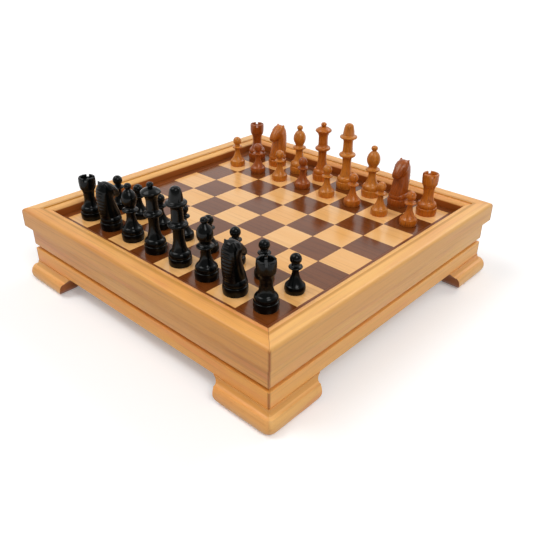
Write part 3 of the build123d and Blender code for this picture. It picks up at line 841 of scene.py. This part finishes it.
@dataclass
class KnightHead:
    """A horse's head and neck, lofted between two lines that run from the base to the nose.

    back_mm and throat_mm are pairs of (forwards, up): the crest, poll and face, and the chest,
    throat and chin. half_mm is half the thickness at each pair. A ring's points lie at
    middle + sin a (back - throat) / 2 forwards and up, and half cos a across, where the cosine
    is flattened to its power so that the sides are those of a plank with rounded edges.
    """

    back_mm: tuple = ((-8.4, 11.5), (-9.2, 15.5), (-9.8, 21.0), (-10.0, 27.0), (-9.8, 33.2),
                      (-8.7, 38.6), (-5.7, 42.4), (-1.3, 43.3), (2.9, 41.2), (6.4, 37.9),
                      (9.0, 34.5), (10.1, 32.2), (10.1, 30.4))
    throat_mm: tuple = ((8.2, 11.5), (7.5, 14.6), (6.0, 19.2), (4.6, 23.4), (3.7, 26.6),
                        (3.4, 28.4), (3.9, 29.4), (4.8, 29.0), (5.8, 28.5), (6.8, 28.0),
                        (7.8, 27.6), (8.7, 27.7), (9.3, 28.8))
    half_mm: tuple = (7.5, 7.4, 7.3, 7.2, 7.0, 6.8, 6.4, 5.8, 5.1, 4.5, 4.0, 3.4, 2.2)
    rings: int = 132
    sides: int = 56
    squareness: float = 0.62

    def stretched(self, stations: Sequence, rows: np.ndarray) -> np.ndarray:
        """Even curves through the stations: each run is a cubic with Catmull and Rom's tangents.

        Args:
            stations: the values at whole rows.
            rows: the rows wanted, as parts of the count of runs.

        Returns:
            The values at those rows.
        """
        value = np.asarray(stations, float)
        value = value.reshape(len(value), -1)
        padded = np.concatenate([2 * value[:1] - value[1:2], value, 2 * value[-1:] - value[-2:-1]])
        run = np.minimum(rows.astype(int), len(value) - 2)
        t = (rows - run)[:, None]
        a, b, c, d = (padded[run + step] for step in range(4))
        return b + 0.5 * t * (c - a + t * (2 * a - 5 * b + 4 * c - d + t * (3 * (b - c) + d - a)))

    def skin(self) -> Skin:
        """The head in millimetres, facing +Y, with ears, mane, cheeks, eyes, nostrils and mouth.

        Each detail is a push along the outline or across it, weighted by a bell curve of the row
        and the angle.

        Returns:
            The closed skin.
        """
        rows = np.linspace(0, len(self.half_mm) - 1, self.rings)
        back, throat = self.stretched(self.back_mm, rows), self.stretched(self.throat_mm, rows)
        half = self.stretched(self.half_mm, rows)
        angle = even_turns(self.sides)
        swing = np.abs(np.cos(angle)) ** self.squareness * np.sign(np.cos(angle))
        row, turn = np.meshgrid(rows, angle, indexing="ij")

        def bell(at_row: float, at_turn: float, row_width: float, turn_width: float) -> np.ndarray:
            """1 at a row and a turn, falling away over those widths, on both cheeks."""
            off = np.abs(np.abs((turn - math.pi / 2 + math.pi) % (2 * math.pi) - math.pi) - at_turn)
            return np.exp(-((row - at_row) / row_width) ** 2 - (off / turn_width) ** 2)

        ears = bell(6.15, 0.62, 0.26, 0.26)
        mane = np.where(row < 6, bell(3.4, 0.0, 2.6, 0.55), 0) * (0.5 - 0.5 * np.cos(row * 13))
        cheek = bell(6.9, 1.45, 0.8, 0.5)
        eye = bell(7.75, 0.95, 0.2, 0.16)
        nostril = bell(10.7, 1.05, 0.2, 0.2)
        mouth = np.exp(-((np.sin(turn) + 0.45) / 0.16) ** 2) * np.clip(row - 9.2, 0, 1)
        brow = bell(7.2, 0.75, 0.35, 0.3)
        across = half * swing * (1 + 0.13 * cheek + 0.14 * eye + 0.1 * brow - 0.2 * nostril
                                 - 0.16 * mouth)
        middle, reach = (back + throat) / 2, (back - throat) / 2
        bowed = np.sin(turn)[..., None] * (1 + 0.05 * (1 - np.abs(swing))[None, :, None])
        side = middle[:, None] + bowed * reach[:, None]
        side = side + ears[..., None] * np.array([-0.7, 2.4]) + mane[..., None] * np.array([0.5, 0.0])
        points = np.stack([across, side[..., 0], side[..., 1]], axis=-1)
        return rolled_up(points[:, ::-1])


@dataclass
class Chessmen:
    """The thirty-two men, each on its own body."""

    sides: int = 56
    crenel: float = math.radians(11.6)
    crenel_depth_mm: float = 2.6
    amber: tuple = ("queen_e", "knight_g", "rook_a", "pawn_a", "pawn_c")
    russet: tuple = ("knight_b", "rook_h", "pawn_e", "pawn_g")
    profiles: dict = field(default_factory=lambda: PROFILES_MM)

    def turned(self, kind: Kind) -> Skin:
        """The turned part of a man, in millimetres."""
        path = arc_path(self.profiles[kind], steps=7)
        if kind is Kind.ROOK:
            return self.battlements(path)
        return rolled_up(lathed(path, even_turns(self.sides)))

    def battlements(self, path: np.ndarray) -> Skin:
        """A rook, whose rim is lowered at four crenels on the diagonals.

        The rings have an angle at each side of a crenel's wall, and inside the crenels any height
        over its floor is pressed down to just above the floor.
        """
        turns = even_turns(96)
        off = (turns % (math.pi / 2)) - math.pi / 4
        step = turns[1]
        outside = np.isclose(np.abs(off), 4 * step)
        turns = np.where(outside, turns - np.sign(off) * (4 * step - self.crenel), turns)
        rows = lathed(path, turns)
        floor = path[:, 0].max() - self.crenel_depth_mm
        inside = np.abs(off) < 3.5 * step
        height = rows[..., 2]
        rows[..., 2] = np.where(inside & (height > floor), floor + 0.02 * (height - floor), height)
        return rolled_up(rows)

    def shape(self, kind: Kind) -> Skin:
        """The whole man, in millimetres, standing at the origin and facing +Y."""
        if kind is Kind.KNIGHT:
            return join([self.turned(kind), KnightHead().skin()])
        return self.turned(kind)

    def finishes(self) -> dict[str, bpy.types.Material]:
        """The black lacquer and three tones of stained wood."""
        stain = {"grain": Grain.UPRIGHT, "figure": 0.4, "gloss": 0.24, "pores": 0.35,
                 "broad": (25.0, 110.0), "streaks": (40.0, 700.0)}
        return {
            "dark": Lacquer("black_lacquer", colour(5, 7, 7), colour(22, 15, 11)).finish(),
            "golden": Wood("golden_stain", colour(214, 135, 48), colour(186, 101, 20),
                           colour(102, 46, 6), **stain).finish(),
            "amber": Wood("amber_stain", colour(206, 118, 34), colour(176, 88, 14),
                          colour(92, 38, 4), **stain).finish(),
            "russet": Wood("russet_stain", colour(174, 88, 24), colour(142, 62, 10),
                           colour(72, 28, 4), **stain).finish(),
        }

    def build(self) -> None:
        """Makes every man, as high as its node, where its node stands."""
        shapes = {kind: self.shape(kind) for kind in Kind}
        tops = {kind: shape.points[:, 2].max() for kind, shape in shapes.items()}
        finishes = self.finishes()
        known = {kind.value: kind for kind in Kind}
        for node in sorted(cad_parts):
            side, word, *file = node.split("_")
            if word not in known:
                continue
            kind, role = known[word], f"{word}_{file[0]}"
            low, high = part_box(node)
            scale = (high.z - low.z) / tops[kind]
            skin = shapes[kind]
            if side == "light":
                skin = skin.quarter_turned(2)
            place = Vector(((low.x + high.x) / 2, (low.y + high.y) / 2, low.z))
            skin = Skin(skin.points * scale, skin.faces).moved(place)
            tone = "amber" if role in self.amber else "russet" if role in self.russet else "golden"
            made = make(node + "_turned", skin, finishes["dark" if side == "dark" else tone])
            stand_for(made, node, node)


# ---------------------------------------------------------------------------- what lies inside
@dataclass
class Draughts:
    """Two rows of fifteen draughts on edge."""

    count: int = 15
    thickness: float = 8.0 * MM
    radius: float = 10.75 * MM
    sides: int = 48

    def disc(self) -> Skin:
        """A draught whose axis is X: dished faces with a ring groove, and a vee round its edge.

        One face's path is run from its middle to the vee, and its mirror image back again.
        """
        face = [(0.5, 0.05, 0), (0.5, 5.6, 0), (0.0, 6.4, 0), (0.0, 7.9, 0), (0.35, 8.3, 0),
                (0.0, 8.7, 0), (0.0, 10.2, 0), (0.55, 10.75, 0.16), (3.3, 10.75, 0), (4.0, 10.05, 0)]
        back = [(8.0 - height, radius, rise) for height, radius, rise in face[::-1]]
        back = [(h, r, 0.16 if h == 8.0 and r == 10.2 else 0.0) for h, r, _ in back]
        path = arc_path(face + back[1:], steps=3) * MM
        rows = lathed(path, even_turns(self.sides))
        return rolled_up(rows[..., [2, 0, 1]] - np.array([self.thickness / 2, 0, 0]))

    def build(self) -> None:
        """Makes each row in the space that its node spans."""
        tones = {
            "light": Wood("pale_draught", colour(232, 156, 92), colour(214, 132, 68),
                          colour(150, 78, 32), grain=Grain.ALONG_Y, gloss=0.3).finish(),
            "dark": Lacquer("black_draught", colour(14, 15, 16), colour(40, 26, 20)).finish(),
        }
        for side, finish in tones.items():
            node = side + "_draughts"
            low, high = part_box(node)
            middles = np.linspace(low.x + self.thickness / 2, high.x - self.thickness / 2, self.count)
            y, z = (low.y + high.y) / 2, low.z + self.radius
            disc = self.disc()
            skin = join([disc.moved((x, y, z)) for x in middles])
            stand_for(make(node + "_row", skin, finish), node, "box")


@dataclass
class DiceCups:
    """Two oval leather cups on their sides, each with a black lining."""

    wall: float = 2.0 * MM
    floor: float = 3.0 * MM
    lining: float = 1.0 * MM
    sides: int = 72

    def tube(self, path: np.ndarray, half_straight: float) -> Skin:
        """An oval skin along X: each (x, radius) is two half rounds that far out, and two straights."""
        turns = even_turns(self.sides) - math.pi / 2 + math.pi / self.sides
        side = np.where(np.cos(turns) >= 0, half_straight, -half_straight)
        along, radius = path.T
        return rolled_up(np.stack([
            np.repeat(along[:, None], self.sides, axis=1),
            np.outer(radius, np.cos(turns)) + side,
            np.outer(radius, np.sin(turns))], axis=-1))

    def shell(self, length: float, radius: float, wall: float, floor: float, rim: float) -> np.ndarray:
        """The path of a closed wall from its floor's outside, round the mouth, to its floor's inside.

        Args:
            length: from the floor's outside to the mouth.
            radius: the outside radius of the round ends.
            wall: its thickness.
            floor: the floor's thickness.
            rim: how far the lip's round stands out past the wall.
        """
        return arc_path([
            (0.0, radius * 0.3, 0), (0.0, radius - 1.2 * MM, 0), (1.2 * MM, radius, QUARTER * 1.2 * MM),
            (length - 5.0 * MM, radius, 0), (length - 4.6 * MM, radius - 0.3 * MM, 0),
            (length - 4.2 * MM, radius, 0), (length - 1.4 * MM, radius + rim, 0),
            (length - 0.4 * MM, radius - wall * 0.4, 0.5 * MM), (length - 0.4 * MM, radius - wall, 0),
            (floor, radius - wall, 0), (floor, radius * 0.25, 0),
        ], steps=4)

    def build(self) -> None:
        """Makes both cups and both linings from the boxes of their nodes."""
        leather = Leather("maroon_leather", colour(122, 50, 34), colour(66, 20, 14)).finish()
        black = Leather("black_felt", colour(20, 18, 18), colour(8, 7, 7), gloss=0.8).finish()
        linings = []
        for side, node in ((-1, "dice_cup_left"), (1, "dice_cup_right")):
            low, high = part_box(node)
            radius = (high.z - low.z) / 2
            straight = (high.y - low.y) / 2 - radius
            length = high.x - low.x
            cup = self.shell(length, radius - 0.1 * MM, self.wall, self.floor, 0.1 * MM)
            inner = radius - self.wall - 0.05 * MM
            felt = self.shell(length - self.floor, inner, self.lining, self.lining, 0.0)
            place = np.array([low.x if side < 0 else high.x, (low.y + high.y) / 2, low.z + radius])
            skins = [self.tube(path, straight) for path in (cup, felt)]
            if side > 0:
                skins = [skin.quarter_turned(2) for skin in skins]
            made = make(node + "_leather", skins[0].moved(place), leather)
            stand_for(made, node, "box")
            inset = np.array([-side * self.floor, 0, 0])
            linings.append(skins[1].moved(place + inset))
        made = make("dice_cup_felt", join(linings), black)
        stand_for(made, "dice_cup_linings", "box")


@dataclass
class Dice:
    """Four rounded dice with pips and a larger one with numbers that double."""

    small: float = 12.0 * MM
    corner: float = 0.14
    pip: float = 0.105
    pip_depth: float = 0.035
    steps: int = 44
    numbers: tuple = ("64", "2", "4", "8", "16", "32")

    def pips(self, number: int) -> np.ndarray:
        """The places of a face's pips, as shares of the die's size from its middle."""
        off = 0.25
        places = {
            1: [(0, 0)], 2: [(-1, 1), (1, -1)], 3: [(-1, 1), (0, 0), (1, -1)],
            4: [(-1, -1), (-1, 1), (1, -1), (1, 1)],
            5: [(-1, -1), (-1, 1), (0, 0), (1, -1), (1, 1)],
            6: [(-1, -1), (-1, 0), (-1, 1), (1, -1), (1, 0), (1, 1)],
        }
        return np.array(places[number], float) * off

    def face(self, number: int, dotted: bool) -> Skin:
        """One face of a die of size 1, towards +Z.

        A grid on the cube is pulled to the rounded cube: each point is the nearest point of the
        inner cube plus the corner radius along the way out. A pip is a parabola's dish.

        Args:
            number: the count of pips.
            dotted: whether the face has its pips.

        Returns:
            An open skin with marks of 1 in the pips.
        """
        line = np.sin(np.linspace(-1, 1, self.steps) * math.pi / 2 * 0.9) / math.sin(math.pi / 2 * 0.9) / 2
        x, y = np.meshgrid(line, line, indexing="ij")
        grid = np.stack([x, y, np.full_like(x, 0.5)], axis=-1)
        core = np.clip(grid, self.corner - 0.5, 0.5 - self.corner)
        out = grid - core
        out /= np.linalg.norm(out, axis=-1, keepdims=True)
        points = core + self.corner * out
        marks = np.zeros_like(x)
        if dotted:
            places = self.pips(number)
            gaps = np.hypot(x[..., None] - places[:, 0], y[..., None] - places[:, 1]).min(axis=-1)
            points[..., 2] -= self.pip_depth * np.clip(1 - (gaps / self.pip) ** 2, 0, None)
            marks = np.clip((self.pip - gaps) / (0.3 * self.pip) + 0.5, 0, 1)
        index = np.arange(self.steps ** 2).reshape(self.steps, self.steps)
        quads = np.stack([index[:-1, :-1], index[1:, :-1], index[1:, 1:], index[:-1, 1:]], axis=-1)
        return Skin(points.reshape(-1, 3), [quads.reshape(-1, 4)], marks.ravel())

    def turned_to(self, points: np.ndarray, number: int) -> np.ndarray:
        """Turns a +Z face's points to the side where that number lies; opposite sides add up to 7."""
        x, y, z = points.T
        sides = {1: (x, y, z), 6: (x, -y, -z), 2: (z, x, y), 5: (-z, -x, y), 3: (y, z, x), 4: (x, -z, y)}
        return np.stack(sides[number], axis=-1)

    def die(self, size: float, dotted: bool) -> Skin:
        """A whole die about the origin."""
        faces = [self.face(number, dotted) for number in range(1, 7)]
        return join([
            Skin(self.turned_to(face.points, number + 1) * size, face.faces, face.marks)
            for number, face in enumerate(faces)])

    def pair(self, node: str, side: int, finish: bpy.types.Material) -> None:
        """Two dice at the corners of their node's box: the outer one at the back."""
        low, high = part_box(node)
        half = self.small / 2
        outer, inner = (high.x, low.x) if side > 0 else (low.x, high.x)
        places = [(outer - side * half, high.y - half, low.z + half),
                  (inner + side * half, low.y + half, low.z + half)]
        skin = join([self.die(self.small, True).moved(place) for place in places])
        stand_for(make(node + "_pips", skin, finish, weld=0.01 * MM), node, "box")

    def number(self, text: str, place: Vector, turn: tuple, finish: bpy.types.Material) -> None:
        """A painted number, made as a thin closed mesh and then laid on its side of the die."""
        curve = bpy.data.curves.new("number", "FONT")
        curve.body, curve.size, curve.extrude = text, 9.0 * MM, 0.03 * MM
        curve.align_x, curve.align_y = "CENTER", "CENTER"
        source = bpy.data.objects.new("number", curve)
        bpy.context.scene.collection.objects.link(source)
        source.location, source.rotation_euler = place, turn
        bpy.context.view_layer.update()
        mesh = bpy.data.meshes.new_from_object(source)
        mesh.transform(source.matrix_world)
        bpy.data.objects.remove(source)
        mesh.materials.clear()
        mesh.materials.append(finish)
        made = bpy.data.objects.new("doubling_number_" + text, mesh)
        bpy.context.scene.collection.objects.link(made)
        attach(made, "box")
        log.info("%s rides on box", made.name)

    def doubling(self, cream: bpy.types.Material, paint: bpy.types.Material) -> None:
        """The large die and its six numbers."""
        low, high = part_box("doubling_cube")
        middle, size = (low + high) / 2, high.z - low.z
        made = make("doubling_cube_rounded", self.die(size, False).moved(middle), cream, weld=0.01 * MM)
        stand_for(made, "doubling_cube", "box")
        quarter, reach = math.pi / 2, size / 2 + 0.01 * MM
        sides = [((0, 0, 1), (0, 0, 0)), ((0, 0, -1), (2 * quarter, 0, 0)),
                 ((0, -1, 0), (quarter, 0, 0)), ((0, 1, 0), (quarter, 0, 2 * quarter)),
                 ((1, 0, 0), (quarter, 0, quarter)), ((-1, 0, 0), (quarter, 0, -quarter))]
        for text, (out, turn) in zip(self.numbers, sides):
            self.number(text, middle + Vector(out) * reach, turn, paint)

    def build(self) -> None:
        """Makes all five."""
        cream = Plastic("cream_plastic", colour(238, 228, 186), colour(24, 22, 20)).finish()
        maroon = Plastic("maroon_plastic", colour(112, 16, 22), colour(238, 230, 205)).finish()
        self.pair("cream_dice", -1, cream)
        self.pair("maroon_dice", 1, maroon)
        paint = Lacquer("number_paint", colour(24, 22, 20), colour(50, 44, 40)).finish()
        self.doubling(cream, paint)


# ---------------------------------------------------------------------------- the studio
@dataclass
class Studio:
    """A pale floor, soft lamps and the camera."""

    floor_half: float = 5.0
    floor_seen: tuple = (0.95, 0.95, 0.95, 1.0)
    floor_bounce: tuple = (0.6, 0.59, 0.57, 1.0)
    floor_glow: tuple = (0.22, 0.8)
    floor_reach: tuple = (0.3, 1.1)
    seen: float = 1.0
    sky: float = 0.34
    dusk: float = 0.3
    backdrop: tuple = (-0.66, 0.72, 0.22)
    lamps: tuple = (((-0.8, -0.85, 1.9), 1.1, 15.8), ((1.35, -0.5, 1.65), 0.9, 14.2),
                    ((0.2, 1.6, 1.5), 1.0, 9.6))
    camera_back: tuple = (0.585, -0.636, 0.5025)
    camera_place: tuple = (0.368, -0.3865, 0.240)
    camera_roll: float = math.radians(0.35)
    lens: float = 41.15

    def seen_share(self, recipe: Recipe) -> bpy.types.NodeSocket:
        """1 for a ray from the camera, a reflection or clear matter, and 0 for light that scatters."""
        path = recipe.node("LightPath", {}).outputs
        seen = recipe.math("MAXIMUM", path["Is Camera Ray"], path["Is Glossy Ray"])
        return recipe.math("MAXIMUM", seen, path["Is Transmission Ray"])

    def floor(self) -> None:
        """A wide floor that looks white, most of all away from the box, and bounces a little less."""
        recipe = Recipe.called("studio_floor")
        shade = recipe.blend(self.seen_share(recipe), self.floor_bounce, self.floor_seen)
        cloud = recipe.noise(recipe.place(), scale=3.0)
        rough = recipe.math("ADD", 0.8, recipe.math("MULTIPLY", cloud, 0.1))
        away = recipe.node("VectorMath", {0: recipe.place()}, operation="LENGTH").outputs["Value"]
        near, far = self.floor_glow
        glow = recipe.math("MULTIPLY", recipe.between(away, *self.floor_reach), far - near)
        glow = recipe.math("MULTIPLY", self.seen_share(recipe), recipe.math("ADD", glow, near))
        finish = recipe.surface(Base_Color=shade, Roughness=rough, Specular_IOR_Level=0.0,
                                Emission_Color=WHITE, Emission_Strength=glow)
        half = self.floor_half
        corners = np.array([(-half, -half, 0), (half, -half, 0), (half, half, 0), (-half, half, 0)])
        made = make("floor", Skin(corners, [np.array([[0, 1, 2, 3]])]), finish)

    def world(self) -> None:
        """A pale surround: white where it is seen, brightest behind the box where it is reflected."""
        world = bpy.data.worlds.new("studio")
        bpy.context.scene.world = world
        recipe = Recipe(world)
        path = recipe.node("LightPath", {}).outputs
        sight = recipe.node("TexCoord", {}).outputs["Generated"]
        behind = recipe.node("VectorMath", {0: sight, 1: self.backdrop}, operation="DOT_PRODUCT")
        glow = recipe.between(behind.outputs["Value"], -0.2, 0.7)
        glow = recipe.math("ADD", recipe.math("MULTIPLY", glow, 1 - self.dusk), self.dusk)
        mirrored = recipe.math("MAXIMUM", path["Is Glossy Ray"], path["Is Transmission Ray"])
        level = recipe.node("Mix", {0: mirrored, 2: self.sky, 3: glow}).outputs[0]
        level = recipe.node("Mix", {0: path["Is Camera Ray"], 2: level, 3: self.seen}).outputs[0]
        light = recipe.node("Background", {0: WHITE, 1: level})
        recipe.node("OutputWorld", {0: light.outputs[0]})

    def lights(self) -> None:
        """Large square lamps aimed at the box."""
        for number, (place, size, power) in enumerate(self.lamps):
            lamp = bpy.data.lights.new(f"softbox_{number}", "AREA")
            lamp.size, lamp.energy = size, power
            made = bpy.data.objects.new(lamp.name, lamp)
            made.location = place
            made.rotation_euler = (-Vector(place)).to_track_quat("-Z", "Y").to_euler()
            bpy.context.scene.collection.objects.link(made)

    def camera(self) -> None:
        """The camera at the photograph's angle, measured from the middle of the cap's top."""
        data = bpy.data.cameras.new("camera")
        data.lens, data.clip_start = self.lens, 0.01
        made = bpy.data.objects.new("camera", data)
        made.location = Vector(self.camera_place) + Vector((0, 0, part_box("cap_rails")[1].z))
        aim = (-Vector(self.camera_back)).to_track_quat("-Z", "Y")
        made.rotation_euler = (aim @ Quaternion((0, 0, 1), self.camera_roll)).to_euler()
        bpy.context.scene.collection.objects.link(made)
        bpy.context.scene.camera = made

    def build(self) -> None:
        """Sets the stage."""
        bpy.context.scene.view_settings.view_transform = "Standard"
        self.floor()
        self.world()
        self.lights()
        self.camera()


def main() -> None:
    """Builds every part of the box and its studio."""
    logging.basicConfig(level=logging.INFO, format="%(message)s")
    for part in (Studio(), BoxFrame(), BracketFeet(), Joinery(), Chessmen(), Draughts(), DiceCups(), Dice()):
        part.build()


if __name__ == "__main__":
    main()
